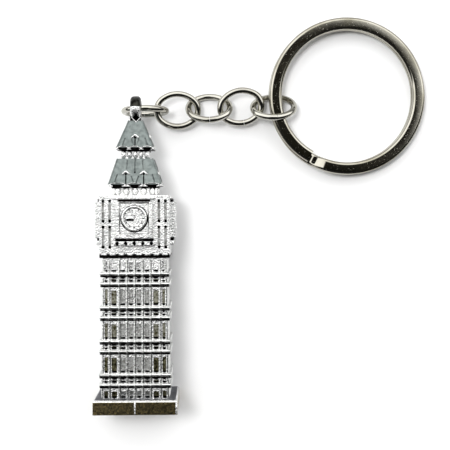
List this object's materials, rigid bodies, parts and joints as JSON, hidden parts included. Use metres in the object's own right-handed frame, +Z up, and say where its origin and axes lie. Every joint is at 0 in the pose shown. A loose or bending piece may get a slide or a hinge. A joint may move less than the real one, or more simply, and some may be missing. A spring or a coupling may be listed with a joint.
{
  "type": "souvenir figurine",
  "caption": "Gothic clock-tower souvenir in cast metal, lying on its back, its eye joined by an oval-link chain to a flat split key ring",
  "frame": {"origin": "the middle of the plinth's foot, the flat face the tower would stand on", "axes": "+Y runs up the tower from its plinth towards its eye as it lies on its back, +X is the side the chain and the key ring lie on, and +Z points up from the table, out of the clock's front face"},
  "size_m": [0.0628, 0.0736, 0.0154],
  "materials": {
    "casting": "bright chrome plating over a zinc die casting, dull in the hollows",
    "chain": "bright nickel plating on round steel wire",
    "ring": "bright nickel plating on flat steel strip"
  },
  "bodies": {
    "tower": {"tower": "casting"},
    "chain_link_1": {"chain_link_1": "chain"},
    "chain_link_2": {"chain_link_2": "chain"},
    "chain_link_3": {"chain_link_3": "chain"},
    "chain_link_4": {"chain_link_4": "chain"},
    "chain_link_5": {"chain_link_5": "chain"},
    "split_ring": {"split_ring": "ring"}
  },
  "joints": [
    {"name": "eye_swing", "type": "hinge", "parent": "tower", "child": "chain_link_1", "pos_m": [0, 0.05595, -0.00042], "axis": [1, 0, 0], "range_deg": [-35, 180]},
    {"name": "link_2_swing", "type": "hinge", "parent": "chain_link_1", "child": "chain_link_2", "pos_m": [0.00552, 0.05564, -0.00365], "axis": [-0.121, -0.1219, -0.9851], "range_deg": [-50, 45]},
    {"name": "link_3_swing", "type": "hinge", "parent": "chain_link_2", "child": "chain_link_3", "pos_m": [0.01155, 0.05596, -0.00522], "axis": [-0.0229, 0.6557, 0.7547], "range_deg": [-15, 45]},
    {"name": "link_4_swing", "type": "hinge", "parent": "chain_link_3", "child": "chain_link_4", "pos_m": [0.01763, 0.05646, -0.00506], "axis": [-0.0277, -0.1295, 0.9912], "range_deg": [-25, 15]},
    {"name": "link_5_swing", "type": "hinge", "parent": "chain_link_4", "child": "chain_link_5", "pos_m": [0.0236, 0.0573, -0.00468], "axis": [-0.1956, 0.9731, 0.1217], "range_deg": [-20, 60]},
    {"name": "ring_turn", "type": "hinge", "parent": "chain_link_5", "child": "split_ring", "pos_m": [0.04008, 0.05855, -0.00564], "axis": [0.0514, 0, 0.9987], "continuous": true}
  ]
}
